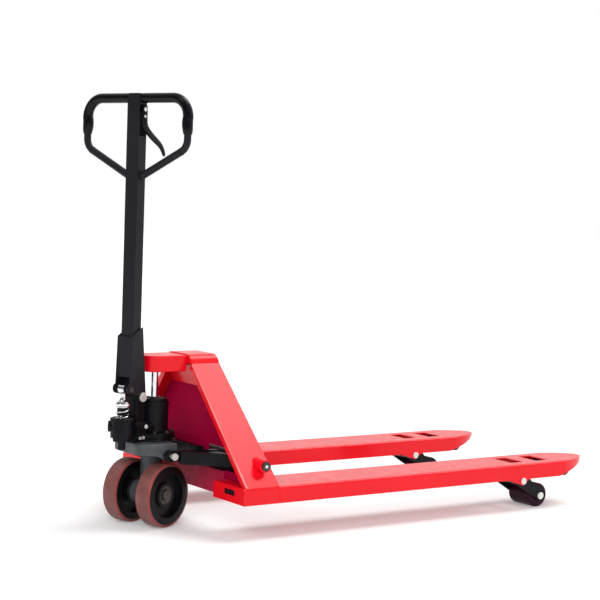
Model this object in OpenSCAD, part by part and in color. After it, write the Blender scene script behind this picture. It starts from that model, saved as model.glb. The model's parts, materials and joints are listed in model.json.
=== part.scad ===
// Hand pallet jack: red fork frame, lift linkage, steered pump with two wheels, and a tilting loop handle.
// Millimetres, +Z up, +X towards the fork tips, +Y to the left fork. The floor is Z = 0.
// Drawn with the forks partly raised, the handle upright and the wheels turned a little.

/* [Forks] */
// Width over both forks
truck_width = 685; // [560:5:690]
// Length of a fork from the heel to its tip
fork_length = 1203; // [1100:1:1250]
// Width of one fork
fork_width = 160; // [150:1:175]
// Height of the fork section
fork_depth = 47; // [45:0.5:50]
// Sheet thickness of the forks
fork_wall = 4; // [3:0.5:5]
// Outside radius along the top edges of a fork
fork_edge = 8; // [6:0.5:10]
// Height of the fork tops above the floor as drawn
fork_top = 144.5; // [142:0.5:148]
// Length of a fork's nose, where it narrows in plan
nose_length = 150; // [130:1:160]
// Radius of a nose's two side arcs in plan
nose_side_r = 200; // [195:1:240]
// Length of the sloping underside at a fork tip
tip_slope_length = 148; // [140:1:150]
// Rise of the sloping underside at a fork tip
tip_slope_rise = 38; // [34:1:40]
// Distance from the fork tip to the middle of the first top slot
slot_a_back = 296; // [285:1:310]
// Distance from the fork tip to the middle of the second top slot
slot_b_back = 193; // [185:1:205]
// Length of a top slot
slot_length = 47; // [30:1:55]
// Width of a top slot
slot_width = 84; // [60:1:95]

/* [Heel] */
// Length of the heel from its front to where the forks start
heel_length = 115; // [110:1:125]
// Sheet thickness of the heel plates
heel_wall = 6; // [5:0.5:7]
// Height of the side plates' top end
side_top = 457; // [450:1:465]
// Half width over the side plates at their top end
side_top_half = 72; // [68:1:80]
// Setback of the side plates' front edge at the bottom
side_foot_front = 8; // [4:1:12]
// Forward reach of the side plates' front edge at the top
side_head_reach = 14; // [10:1:18]
// Length of a side plate along the truck at its top
side_head_length = 91; // [86:1:96]
// Width of the flange along the front of a side plate
side_flange = 20; // [14:1:24]
// Setback of the bulkhead's face from the heel front
bulkhead_back = 34; // [30:1:42]
// Height of the bulkhead's bottom edge
bulkhead_foot = 240; // [236:1:250]
// Height of the bend where the bulkhead turns forward
bulkhead_bend = 392; // [380:1:405]
// Height of the cross plate's top edge
cross_top = 166; // [155:1:168]
// Width of the window in a heel's front plate
window_width = 58; // [40:1:70]
// Height of the window in a heel's front plate
window_height = 15; // [8:1:18]
// Thickness of the top cap
cap_depth = 25; // [20:1:30]
// Half width of the lift nose, and its front radius
nose_half = 48; // [44:0.5:48]
// Height of the lift nose's underside
nose_bottom = 433; // [431:0.5:436]
// Height of the lift nose itself
nose_depth = 46; // [40:0.5:48]

/* [Lift linkage] */
// Setback of the rocker pivot from the heel front
rocker_back = 75; // [72:0.5:78]
// Height of the rocker pivot
rocker_height = 200; // [198:0.5:204]
// Outside radius of the torsion tube
torsion_r = 23; // [20:0.5:24]
// Distance of the torsion tube's ends in from the truck's sides
torsion_in = 80.5; // [78:0.5:90]
// Radius of the rocker pivot pins
rocker_pin_r = 9; // [7:0.5:10]
// Outside radius of the pivot bosses
boss_r = 18; // [16:0.5:22]
// Half distance between the two rocker arms
arm_half = 105; // [104:0.5:106]
// Thickness of a rocker arm
arm_wall = 16; // [12:0.5:16]
// Height of a rocker arm
arm_depth = 30; // [26:1:32]
// Length of the rocker lugs from pivot to link pin
rocker_lug = 59; // [58:0.5:60]
// Distance of a push rod from its fork's middle, towards the truck's middle
rod_in = 22.5; // [20:0.5:26]
// Thickness of a push rod across the truck
rod_wall = 12; // [8:0.5:14]
// Height of a push rod
rod_depth = 14; // [10:0.5:14]
// Height of a push rod's middle line
rod_height = 120; // [118:0.5:121]
// Radius of the rocker's link pins
link_pin_r = 5; // [4:0.25:5]
// Thickness of a lug's cheek
cheek_wall = 8; // [6:0.5:9]
// Distance from the fork tip back to the load bracket pivot
bracket_back = 303; // [295:1:310]
// Height of the load bracket pivot
bracket_height = 93; // [92:0.5:94]
// Radius of the load bracket's pivot shaft
bracket_pin_r = 8; // [6:0.5:9]
// Length of the load bracket's lug from pivot to link pin
bracket_lug = 34; // [33:0.5:34]
// Radius of the load bracket's link pin
bracket_link_r = 4; // [3:0.25:4]
// Distance from the bracket pivot to the roller axle along the truck
roller_reach = 94; // [92:1:96]
// Radius of a load roller
roller_r = 37; // [35:0.5:37]
// Length of a load roller
roller_length = 94; // [80:1:100]
// Radius of a load roller's axle
roller_axle_r = 8; // [6:0.5:10]
// Thickness of a load bracket's side plate
bracket_wall = 8; // [6:0.5:10]
// Radius of an ear tab round the pivot shaft
ear_r = 14; // [12:0.5:16]
// Radius of an entry roller
entry_r = 18; // [16:0.5:19]
// Length of an entry roller
entry_length = 118; // [90:1:122]
// Distance from the fork tip back to the entry roller
entry_back = 115; // [112:1:118]
// Radius of the entry roller's axle
entry_axle_r = 6; // [4:0.5:7]

/* [Steered unit] */
// Distance of the steering axis ahead of the heel front
steer_ahead = 94; // [92:0.5:98]
// Angle of the wheels as drawn
steer_angle = 21.1; // [0:0.1:30]
// Distance of the wheel axle ahead of the steering axis
axle_trail = 23; // [15:0.5:25]
// Radius of a steer wheel
wheel_r = 90; // [88:0.5:92]
// Width of a steer wheel
wheel_width = 48; // [40:0.5:50]
// Distance between the middles of the two steer wheels
wheel_spacing = 119; // [117:0.5:122]
// Thickness of a wheel's tread
tread_depth = 15; // [10:0.5:20]
// Radius of the wheel axle
wheel_axle_r = 12.5; // [10:0.5:14]
// Outside radius of a wheel bearing
bearing_r = 26; // [24:0.5:30]
// Width of a wheel bearing
bearing_width = 12; // [8:0.5:13]
// Recess of the bearings behind a wheel's face
hub_inset = 10; // [8:0.5:10]
// Radius of the wheel yoke's post
post_r = 32; // [31:0.5:33]
// Height of the thrust plate's underside
plate_bottom = 205; // [204:0.5:207]
// Thickness of the thrust plate
plate_depth = 34; // [32:0.5:35]
// Distance of the thrust plate's front edge ahead of the steering axis
plate_front = 88; // [84:0.5:90]
// Radius of the thrust plate's two front corners
plate_corner = 50; // [46:0.5:56]
// Height of the thrust plate's side bolts
plate_bolt_height = 204; // [203:0.5:206]
// Distance of the side bolts behind the steering axis
plate_bolt_back = 7; // [4:0.5:9]
// Radius of the side bolts
plate_bolt_r = 8; // [6:0.5:8]
// Thickness of the thrust bearing
thrust_depth = 6; // [5:0.5:8]
// Outside radius of the thrust bearing
thrust_r = 58; // [50:1:60]
// Radius of the ram
ram_r = 12.5; // [11:0.5:13]
// Height of the ram's lower end
ram_bottom = 272; // [271:0.5:274]
// Outside radius of the lift cylinder
cylinder_r = 43; // [40:0.5:44]
// Height of the lift cylinder's top
cylinder_top = 348; // [346:0.5:350]
// Inside radius of the lift cylinder
cylinder_bore_r = 16; // [15:0.5:18]
// Height of the bottom of the lift cylinder's bore
cylinder_floor = 214; // [212:0.5:215]

/* [Pump] */
// Distance of the plunger ahead of the steering axis
plunger_ahead = 133.5; // [132:0.5:135]
// Radius of the plunger
plunger_r = 7; // [5:0.5:8]
// Height of the plunger's lower end
plunger_bottom = 280; // [279:0.5:281]
// Radius of the spring cap on the plunger
spring_cap_r = 22; // [20:0.5:23]
// Height of the spring cap's underside
spring_top = 345; // [344:0.5:346]
// Outside radius of the spring cup
cup_r = 32; // [30:0.5:33]
// Inside radius of the spring cup
cup_bore_r = 25; // [24.5:0.5:26]
// Height of the spring cup's rim
cup_top = 312; // [306:1:316]
// Height of the spring cup's floor
cup_floor = 262; // [261:0.5:263]
// Middle radius of the plunger spring
spring_r = 17.75; // [17:0.25:18.5]
// Wire diameter of the plunger spring
spring_wire = 4.5; // [3.5:0.25:5]
// Turns of the plunger spring
spring_turns = 6; // [4:1:7]
// Outside radius of the guide round the plunger
guide_r = 12; // [10:0.5:12]
// Height of the guide's top
guide_top = 290; // [288:0.5:291]
// Greatest travel of the plunger
plunger_stroke = 52.5; // [45:0.1:53]

/* [Handle] */
// Distance of the handle pivot ahead of the steering axis
pivot_ahead = 82; // [80:0.5:84]
// Height of the handle pivot
pivot_height = 367; // [365:0.5:368]
// Radius of the handle pivot pin
pivot_pin_r = 9; // [7:0.5:10]
// Distance of the pressure roller ahead of the steering axis
press_ahead = 132.5; // [131:0.5:134]
// Height of the pressure roller
press_height = 392; // [391:0.5:393]
// Radius of the pressure roller
press_r = 12; // [10:0.5:12.5]
// Length of the pressure roller
press_length = 30; // [26:1:34]
// Radius of the pressure roller's pin
press_pin_r = 5; // [4:0.5:6]
// Half width of the handle base
base_half = 27.5; // [27:0.5:29]
// Thickness of the handle base's cheeks
base_cheek = 5; // [4:0.5:5]
// Distance of the handle base's front ahead of the steering axis
base_ahead = 131; // [130:0.5:133]
// Height of the handle base's top at its front
base_front_top = 537; // [525:1:545]
// Height of the handle base's top at its back
base_back_top = 562; // [550:1:575]
// Distance of the drawbar ahead of the steering axis
bar_ahead = 105.5; // [105:0.5:106]
// Depth of the drawbar along the truck
bar_depth = 36; // [32:0.5:38]
// Width of the drawbar across the truck
bar_across = 42.5; // [40:0.5:44]
// Wall of the drawbar
bar_wall = 3; // [2:0.5:4]
// Height of the middle of the loop's top bar
loop_top = 1191; // [1150:1:1220]
// Drop from the loop's top bar to where its upright sides turn into its lower bends
loop_side_drop = 111; // [106:1:141]
// Slope of the loop's lower arms
loop_arm_slope = 27; // [15:1:40]
// Half width of the loop at its middle line
loop_half = 178; // [150:1:190]
// Radius of the loop's tube
loop_r = 10; // [8:0.5:12]
// Bend radius of the loop's top corners
loop_top_bend = 52; // [40:1:60]
// Bend radius of the loop's lower corners
loop_low_bend = 38; // [25:1:45]
// Outside radius of a grip
grip_r = 14; // [12.5:0.5:16]
// Drop from the loop's top bar to the end of a grip
grip_drop = 99; // [81:1:103]
// Drop from the loop's top bar to the hand lever's pivot
lever_below = 31; // [27:0.5:40]
// Reach of the hand lever behind the drawbar's middle
lever_reach = 87; // [80:1:100]
// Drop of the hand lever's tip below its pivot
lever_drop = 122; // [115:1:130]
// Thickness of the hand lever
lever_wall = 12; // [8:0.5:14]
// Radius of the hand lever's shaft
lever_pin_r = 5; // [4:0.5:6]
// Distance of the pull rod from the drawbar's middle
rod_offset = 11; // [9:0.5:11]
// Radius of the pull rod
pull_rod_r = 3; // [2:0.5:3]

/* [Fits] */
// Radial clearance of a running fit
run_fit = 0.05; // [0.02:0.01:0.1]
// Gap between pieces that pass each other
pass_gap = 0.5; // [0.3:0.1:1]

/* [Hidden] */
$fn = 64;
eps = 0.01;

// Places along the truck. The origin is under the middle of the whole object.
loop_front = steer_ahead + bar_ahead * cos(steer_angle) + loop_half * sin(steer_angle) + grip_r;
heel_x = -(heel_length + fork_length - loop_front) / 2;
fork_x = heel_x + heel_length;
tip_x = fork_x + fork_length;
steer_x = heel_x - steer_ahead;
rocker_x = heel_x + rocker_back;
bracket_x = tip_x - bracket_back;
roller_x = bracket_x + roller_reach;
entry_x = tip_x - entry_back;

// Places across the truck and heights of the forks
fork_half = (truck_width - fork_width) / 2;
fork_inner = fork_half - fork_width / 2;
torsion_half = truck_width / 2 - torsion_in;
rod_half = fork_half - rod_in;
fork_bottom = fork_top - fork_depth;
roller_drop = bracket_height - roller_r;
slope_at_entry = tip_slope_rise * (tip_slope_length - entry_back) / tip_slope_length;
entry_show = 9;
entry_axle_half = fork_width / 2 - 5;
entry_height = fork_bottom + slope_at_entry + entry_r - entry_show;

// Side plate geometry: it leans inwards by side_lean from the vertical
side_rise = side_top - fork_top;
side_shift = truck_width / 2 - side_top_half;
side_lean = atan(side_shift / side_rise);
side_run = norm([side_rise, side_shift]);
side_wall_across = heel_wall / cos(side_lean);
side_foot_length = heel_length - side_foot_front;
function side_outer(z) = truck_width / 2 - (z - fork_top) * side_shift / side_rise;
function side_inner(z) = side_outer(z) - side_wall_across;

// Heights of the steered unit
plate_top = plate_bottom + plate_depth;
pump_foot = plate_top + thrust_depth + pass_gap;
flange_depth = 16;
cylinder_foot = pump_foot + flange_depth;
gland_depth = 9;
gland_spigot = 18;
barrel_bottom = plunger_bottom - plunger_stroke - 2;
plunger_top = press_height - press_r - 0.6;
cheek_gap = base_half - base_cheek;
loop_side_foot = loop_top - loop_side_drop;
grip_end = loop_top - grip_drop;
lever_height = loop_top - lever_below;
lug_half = cheek_gap - pass_gap;

module at_steer() {
  translate([steer_x, 0, 0]) rotate([0, 0, steer_angle]) children();
}

module both_sides() {
  for (side = [-1, 1]) scale_side(side) children();
}

module scale_side(side) {
  if (side > 0) children();
  else mirror([0, 1, 0]) children();
}

// Round bar along Y between two places
module bar_y(r, from_y, to_y, fn = 64) {
  translate([0, from_y, 0]) rotate([-90, 0, 0]) cylinder(r = r, h = to_y - from_y, $fn = fn);
}

// Flat plate in the XZ plane between two places along Y
module plate_y(from_y, to_y) {
  translate([0, to_y, 0]) rotate([90, 0, 0]) linear_extrude(to_y - from_y) children();
}

// Outline in the YZ plane run along X
module run_x(length) {
  rotate([90, 0, 90]) linear_extrude(length) children();
}

module strip(from, to, width) {
  span = to - from;
  translate(from) rotate(atan2(span[1], span[0])) translate([0, -width / 2]) square([norm(span), width]);
}

// Section of a channel's outside, round along the two top edges
module channel_outline(width, depth, edge) {
  translate([-width / 2, 0]) square([width, depth - edge]);
  translate([-width / 2 + edge, 0]) square([width - 2 * edge, depth]);
  for (side = [-1, 1]) translate([side * (width / 2 - edge), depth - edge]) circle(edge);
}

// One side arc of a fork's nose, as a round block that ends at the fork's side
module nose_side(side, inset) {
  bite = 0.3;
  translate([fork_length - nose_length, side * (nose_side_r - fork_width / 2 - bite), 0])
    cylinder(r = nose_side_r - inset, h = fork_depth - inset, $fn = 180);
}

// A fork as a solid channel that narrows to a round nose, drawn in by an inset
module fork_shell(inset) {
  run = fork_length - nose_length;
  end_r = fork_width / 2;
  depth = fork_depth - inset;
  intersection() {
    run_x(fork_length - inset) channel_outline(fork_width - 2 * inset, depth, fork_edge - inset);
    union() {
      translate([0, -fork_width, 0]) cube([run, 2 * fork_width, depth]);
      intersection() {
        nose_side(1, inset);
        nose_side(-1, inset);
        union() {
          translate([run - 1, -fork_width, 0]) cube([nose_length - end_r + 1, 2 * fork_width, depth]);
          translate([fork_length - end_r, 0, 0]) cylinder(r = end_r - inset, h = depth, $fn = 120);
        }
      }
    }
  }
}

module fork() {
  color("red") difference() {
    translate([fork_x, fork_half, fork_bottom]) difference() {
      fork_shell(0);
      translate([-eps, 0, -eps]) fork_shell(fork_wall);
      for (back = [slot_a_back, slot_b_back])
        translate([fork_length - back - slot_length / 2, -slot_width / 2, fork_depth / 2])
          cube([slot_length, slot_width, fork_depth]);
      plate_y(-fork_width, fork_width)
        polygon([[fork_length - tip_slope_length, -eps], [fork_length + 1, -eps],
                 [fork_length + 1, tip_slope_rise]]);
    }
    translate([bracket_x, 0, bracket_height]) bar_y(bracket_pin_r + pass_gap, 0, truck_width);
    translate([entry_x, fork_half, entry_height])
      bar_y(entry_axle_r + run_fit, -entry_axle_half, entry_axle_half);
  }
}

module heel_base() {
  color("red") difference() {
    translate([heel_x, fork_half, fork_bottom]) difference() {
      run_x(heel_length) channel_outline(fork_width, fork_depth, fork_edge);
      translate([heel_wall, 0, -eps])
        run_x(heel_length) channel_outline(fork_width - 2 * fork_wall, fork_depth - fork_wall,
                                           fork_edge - fork_wall);
      translate([-1, -window_width / 2, fork_depth / 2 - window_height / 4])
        cube([heel_wall + 2, window_width, window_height]);
    }
    translate([rocker_x - 37, rod_half - 17, fork_top - fork_depth / 2]) cube([70, 34, fork_depth]);
  }
}

// A side plate in its own plane: x along the truck, y up the slope
module side_outline() {
  polygon([[side_foot_front, 0], [side_foot_front + side_foot_length, 0],
           [side_head_length - side_head_reach, side_run], [-side_head_reach, side_run]]);
}

module flange_outline() {
  polygon([[side_foot_front, 0], [side_foot_front + heel_wall, 0],
           [heel_wall - side_head_reach, side_run], [-side_head_reach, side_run]]);
}

module on_slope() {
  translate([heel_x, truck_width / 2, fork_top]) rotate([90 + side_lean, 0, 0]) children();
}

module heel_side() {
  color("red") difference() {
    intersection() {
      on_slope() {
        linear_extrude(heel_wall) side_outline();
        linear_extrude(side_flange) flange_outline();
      }
      translate([heel_x - side_run, 0, fork_top]) cube([2 * side_run, truck_width, side_rise]);
    }
    translate([rocker_x, 0, rocker_height]) bar_y(boss_r + run_fit, 0, truck_width);
  }
}

// Bent sheet seen from the side
module bulkhead_profile() {
  top_x = heel_wall - side_head_reach;
  polygon([[bulkhead_back, bulkhead_foot], [bulkhead_back + heel_wall, bulkhead_foot],
           [bulkhead_back + heel_wall, bulkhead_bend], [top_x + heel_wall + 2, side_top],
           [top_x, side_top], [bulkhead_back, bulkhead_bend - 3]]);
}

module bulkhead() {
  gap = 0.2;
  low = side_inner(bulkhead_foot) - gap;
  high = side_inner(side_top) - gap;
  color("firebrick") intersection() {
    translate([heel_x, 0, 0]) plate_y(-truck_width / 2, truck_width / 2) bulkhead_profile();
    translate([heel_x, 0, 0])
      run_x(heel_length) polygon([[-low, bulkhead_foot], [low, bulkhead_foot],
                                  [high, side_top], [-high, side_top]]);
  }
}

module cross_plate() {
  foot = fork_bottom + 9;
  color("firebrick") translate([heel_x + bulkhead_back, -fork_inner, foot])
    cube([heel_wall, 2 * fork_inner, cross_top - foot]);
}

module top_cap() {
  color("red") translate([heel_x - side_head_reach - 2, -side_top_half, side_top])
    cube([side_head_length + 2, 2 * side_top_half, cap_depth]);
}

module lift_nose() {
  back = steer_ahead - side_head_reach - 2;
  color("red") translate([steer_x, 0, nose_bottom]) difference() {
    union() {
      cylinder(r = nose_half, h = nose_depth);
      translate([0, -nose_half, 0]) cube([back, 2 * nose_half, nose_depth]);
    }
    translate([0, 0, -1]) cylinder(r = ram_r + run_fit, h = nose_depth / 2 + 1);
  }
}

module ram() {
  top = nose_bottom + nose_depth / 2;
  color("silver") translate([steer_x, 0, ram_bottom]) cylinder(r = ram_r, h = top - ram_bottom);
}

// Outer end of the pivot bosses
boss_end = truck_width / 2 - 14;

module pivot_bosses() {
  inner = torsion_half + pass_gap;
  color("red") both_sides() translate([rocker_x, 0, rocker_height]) difference() {
    bar_y(boss_r, inner, boss_end);
    bar_y(rocker_pin_r + run_fit, 0, truck_width);
  }
}

module rocker_pins() {
  color("dimgray") both_sides() translate([rocker_x, 0, rocker_height]) {
    bar_y(rocker_pin_r, torsion_half - 50, boss_end);
    bar_y(rocker_pin_r + 4, boss_end, boss_end + 6);
  }
}

// Ear tab that carries on a fork wall below its bottom edge
module fork_ear(inner) {
  rise = fork_bottom - bracket_height;
  translate([bracket_x, 0, bracket_height]) intersection() {
    difference() {
      plate_y(inner, inner + fork_wall) {
        circle(ear_r);
        polygon([[-4.2 * ear_r, rise], [-0.6 * ear_r, -0.8 * ear_r], [0.9 * ear_r, -0.3 * ear_r],
                 [2.2 * ear_r, rise]]);
      }
      bar_y(bracket_pin_r + run_fit, inner - 1, inner + fork_wall + 1);
    }
    translate([-5 * ear_r, 0, rise - 5 * ear_r]) cube([10 * ear_r, truck_width, 5 * ear_r]);
  }
}

module fork_ears() {
  color("red") both_sides() {
    fork_ear(fork_half + fork_width / 2 - fork_wall);
    fork_ear(fork_half - fork_width / 2);
  }
}

module bracket_shafts() {
  reach = fork_width / 2;
  head_r = bracket_pin_r + 2;
  color("silver") both_sides() translate([bracket_x, fork_half, bracket_height]) {
    bar_y(bracket_pin_r, -reach, reach);
    bar_y(head_r, reach, reach + 5);
    bar_y(head_r, -reach - 5, -reach);
  }
}

module entry_axles() {
  color("dimgray") both_sides() translate([entry_x, fork_half, entry_height])
    bar_y(entry_axle_r, -entry_axle_half, entry_axle_half);
}

// Front arm of the rocker, with a slotted eye for the thrust plate's bolt
module rocker_front_arm() {
  eye = [steer_x + plate_bolt_back - rocker_x, plate_bolt_height - rocker_height];
  slot_run = 9;
  arc_room = 1.8;
  way = eye / norm(eye);
  slot_end = eye + slot_run * way;
  slot_r = plate_bolt_r + arc_room;
  inner = arm_half - arm_wall / 2;
  plate_y(inner, inner + arm_wall) difference() {
    union() {
      strip([0, 0], slot_end, arm_depth);
      translate(slot_end) circle(arm_depth / 2 + 2);
    }
    translate(eye) circle(slot_r);
    translate(slot_end) circle(slot_r);
    strip(eye, slot_end, 2 * slot_r - 0.2);
  }
}

module lug_cheeks(thick, gap_half, reach, pin_r, width) {
  for (from_y = [gap_half, -gap_half - thick])
    plate_y(from_y, from_y + thick) difference() {
      union() {
        translate([-width / 2, min(reach, 0)]) square([width, abs(reach)]);
        translate([0, reach]) circle(width / 2);
      }
      translate([0, reach]) circle(pin_r + run_fit);
    }
}

module rocker_arm() {
  color("dimgray") translate([rocker_x, 0, rocker_height]) difference() {
    union() {
      bar_y(torsion_r, -torsion_half, torsion_half);
      both_sides() {
        rocker_front_arm();
        translate([0, rod_half, 0])
          lug_cheeks(cheek_wall, rod_wall / 2 + pass_gap, -rocker_lug, link_pin_r, 20);
      }
    }
    both_sides() bar_y(rocker_pin_r + run_fit, torsion_half - 60, torsion_half + 1);
  }
}

module rocker_link_pins() {
  reach = rod_wall / 2 + pass_gap + cheek_wall;
  color("silver") both_sides() translate([rocker_x, rod_half, rocker_height - rocker_lug])
    bar_y(link_pin_r, -reach, reach);
}

// Push rod: upright flag at the heel, straight bar in the fork, slotted eye at the load bracket
module push_rod() {
  heel_eye = [rocker_x, rocker_height - rocker_lug];
  far_eye = [bracket_x, bracket_height + bracket_lug];
  slot_drop = 9.4;
  slot_half = bracket_link_r + 0.8;
  color("dimgray") plate_y(rod_half - rod_wall / 2, rod_half + rod_wall / 2) difference() {
    union() {
      translate(heel_eye) circle(link_pin_r + 5);
      strip(heel_eye, [rocker_x, rod_height - rod_depth / 2], 2 * link_pin_r + 10);
      strip([rocker_x - link_pin_r - 5, rod_height], [bracket_x, rod_height], rod_depth);
      translate(far_eye) circle(slot_half + 3.2);
      translate(far_eye - [0, slot_drop]) circle(slot_half + 3.2);
      strip(far_eye, far_eye - [0, slot_drop], 2 * slot_half + 6.4);
    }
    translate(heel_eye) circle(link_pin_r + run_fit);
    translate(far_eye) circle(slot_half);
    translate(far_eye - [0, slot_drop]) circle(slot_half);
    strip(far_eye, far_eye - [0, slot_drop], 2 * slot_half);
  }
}

module load_bracket() {
  hub_r = 15;
  tail = [roller_reach, -roller_drop];
  inner = roller_length / 2 + 2;
  color("dimgray") translate([bracket_x, fork_half, bracket_height]) difference() {
    union() {
      bar_y(hub_r, -inner, inner);
      for (from_y = [inner, -inner - bracket_wall])
        plate_y(from_y, from_y + bracket_wall) {
          circle(hub_r);
          strip([0, 0], tail, 2 * hub_r - 1.4);
          translate(tail) circle(hub_r + 1);
          polygon([[0, 0], [0.08 * tail[0], hub_r - 1], [0.5 * tail[0], 5], [0.68 * tail[0], -hub_r],
                   [tail[0] + 6, tail[1] + hub_r + 10], [tail[0] + hub_r - 3, tail[1]], tail]);
        }
      translate([0, rod_half - fork_half, 0])
        lug_cheeks(cheek_wall, rod_wall / 2 + pass_gap, bracket_lug, bracket_link_r, 16);
    }
    bar_y(bracket_pin_r + run_fit, -fork_width, fork_width);
    translate([tail[0], 0, tail[1]]) bar_y(roller_axle_r + run_fit, -fork_width, fork_width);
  }
}

module bracket_link_pin() {
  reach = rod_wall / 2 + pass_gap + cheek_wall;
  color("silver") translate([bracket_x, rod_half, bracket_height + bracket_lug])
    bar_y(bracket_link_r, -reach, reach);
}

module roller_axle() {
  reach = roller_length / 2 + 2 + bracket_wall;
  color("silver") translate([roller_x, fork_half, roller_r]) {
    bar_y(roller_axle_r, -reach, reach);
    bar_y(roller_axle_r + 3, reach, reach + 5);
    bar_y(roller_axle_r + 3, -reach - 5, -reach);
  }
}

// Roller with rounded rims: its half profile turned about Y
module round_roller(r, length, bore_r, rim) {
  rotate([-90, 0, 0]) rotate_extrude($fn = 96) {
    translate([bore_r, -length / 2]) square([r - rim - bore_r, length]);
    translate([r - rim - eps, -length / 2 + rim]) square([rim + eps, length - 2 * rim]);
    for (side = [-1, 1]) translate([r - rim, side * (length / 2 - rim)]) circle(rim);
  }
}

module load_roller() {
  color("indigo") translate([roller_x, fork_half, roller_r])
    round_roller(roller_r, roller_length, roller_axle_r + run_fit, 5);
}

module entry_roller() {
  color("black") translate([entry_x, fork_half, entry_height])
    round_roller(entry_r, entry_length, entry_axle_r + run_fit, 3);
}

// Inside face of the ears that carry the thrust plate's side bolts
ear_inner = 68;

module thrust_plate() {
  ear_outer = arm_half - arm_wall / 2 - pass_gap;
  ear_half = 20;
  lobe_r = 18;
  corner_x = plate_corner - plate_front;
  corner_y = ear_outer - plate_corner;
  slope_x = corner_x - plate_bolt_back;
  color("slategray") translate([steer_x, 0, 0]) difference() {
    union() {
      translate([0, 0, plate_bottom]) linear_extrude(plate_depth) {
        translate([corner_x, -ear_outer]) square([ear_half - slope_x, 2 * ear_outer]);
        translate([-plate_front, -corner_y]) square([plate_front, 2 * corner_y]);
        for (side = [-1, 1]) translate([corner_x, side * corner_y]) circle(plate_corner, $fn = 96);
      }
      both_sides() translate([plate_bolt_back, 0, 0]) plate_y(ear_inner, ear_outer) {
        polygon([[slope_x, plate_bottom], [-7, plate_bolt_height - lobe_r + 2.2],
                 [ear_half, plate_bolt_height], [ear_half, plate_top - 1], [slope_x, plate_top - 1]]);
        translate([0, plate_bolt_height]) circle(lobe_r);
      }
    }
    translate([0, 0, plate_bottom - 30]) cylinder(r = post_r + run_fit, h = plate_depth + 60);
    both_sides() translate([plate_bolt_back, 0, plate_bolt_height])
      bar_y(plate_bolt_r + run_fit, ear_inner - 1, ear_outer + 20);
  }
}

module thrust_bearing() {
  color("silver") translate([steer_x, 0, plate_top]) difference() {
    cylinder(r = thrust_r, h = thrust_depth);
    translate([0, 0, -1]) cylinder(r = post_r + 3, h = thrust_depth + 2);
  }
}

module thrust_bolts() {
  head = arm_half + arm_wall / 2 + pass_gap;
  color("silver") both_sides() translate([steer_x + plate_bolt_back, 0, plate_bolt_height]) {
    bar_y(plate_bolt_r, ear_inner, head);
    bar_y(plate_bolt_r + 2, head, head + 6);
  }
}

module pump_body() {
  barrel_r = 11;
  lug_r = 16;
  color("#303034") at_steer() difference() {
    union() {
      translate([0, 0, pump_foot]) cylinder(r = 62, h = flange_depth);
      translate([-plunger_ahead, -lug_half, pump_foot]) cube([plunger_ahead, 2 * lug_half, 48]);
      translate([-plunger_ahead, 0, cup_floor - 5]) cylinder(r = cup_r, h = cup_top - cup_floor + 5);
      translate([-plunger_ahead, 0, pump_foot]) cylinder(r = cup_r - 7, h = cup_floor - pump_foot);
      translate([-plunger_ahead, 0, barrel_bottom - 3]) cylinder(r = barrel_r, h = 40);
      translate([-pivot_ahead - lug_r, -lug_half, pump_foot])
        cube([2 * lug_r, 2 * lug_half, pivot_height - pump_foot]);
      translate([-pivot_ahead, 0, pivot_height]) bar_y(lug_r, -lug_half, lug_half);
    }
    translate([-plunger_ahead, 0, cup_floor]) difference() {
      cylinder(r = cup_bore_r, h = cup_top);
      translate([0, 0, -1]) cylinder(r = guide_r, h = guide_top - cup_floor + 1);
    }
    translate([-plunger_ahead, 0, barrel_bottom]) cylinder(r = plunger_r + run_fit, h = cup_top);
    translate([-pivot_ahead, 0, pivot_height]) bar_y(pivot_pin_r + run_fit, -base_half, base_half);
    translate([0, 0, pump_foot - 1]) cylinder(r = cylinder_bore_r, h = flange_depth + 2);
    translate([0, 0, cylinder_foot]) cylinder(r = cylinder_r + run_fit, h = cylinder_top);
  }
}

module lift_cylinder() {
  color("#38383c") at_steer() translate([0, 0, cylinder_foot]) difference() {
    cylinder(r = cylinder_r, h = cylinder_top - cylinder_foot);
    translate([0, 0, -1]) cylinder(r = cylinder_bore_r, h = cylinder_top - cylinder_foot + 2);
  }
}

module cylinder_gland() {
  gland_foot = cylinder_top - gland_spigot;
  color("dimgray") at_steer() difference() {
    union() {
      translate([0, 0, cylinder_top]) cylinder(r = cylinder_r - 4, h = gland_depth);
      translate([0, 0, gland_foot]) cylinder(r = cylinder_bore_r - run_fit, h = gland_spigot + 1);
    }
    translate([0, 0, gland_foot - 1]) cylinder(r = ram_r + run_fit, h = gland_spigot + gland_depth + 2);
  }
}

module axle_yoke() {
  half = (wheel_spacing - wheel_width) / 2 - 2;
  collar = (wheel_spacing - wheel_width) / 2 + hub_inset - pass_gap;
  color("#303034") at_steer() difference() {
    union() {
      translate([0, 0, wheel_r]) cylinder(r = post_r, h = pump_foot - wheel_r);
      translate([-axle_trail, 0, wheel_r]) bar_y(post_r, -half, half);
      translate([-axle_trail, 0, wheel_r]) bar_y(wheel_axle_r + 5, -collar, collar);
    }
    translate([-axle_trail, 0, wheel_r]) bar_y(wheel_axle_r + run_fit, -wheel_spacing, wheel_spacing);
    translate([0, 0, cylinder_floor]) cylinder(r = cylinder_bore_r, h = pump_foot);
  }
}

nut_depth = 6;
axle_half = (wheel_spacing + wheel_width) / 2 - hub_inset + pass_gap + nut_depth;

module wheel_axle() {
  color("silver") at_steer() translate([-axle_trail, 0, wheel_r]) bar_y(wheel_axle_r, -axle_half, axle_half);
}

// Ring nuts that keep the wheels on the axle
module axle_nuts() {
  color("dimgray") at_steer() both_sides() translate([-axle_trail, 0, wheel_r]) difference() {
    bar_y(wheel_axle_r + 5, axle_half - nut_depth, axle_half);
    bar_y(wheel_axle_r + run_fit, axle_half - nut_depth - 1, axle_half + 1);
  }
}

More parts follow.
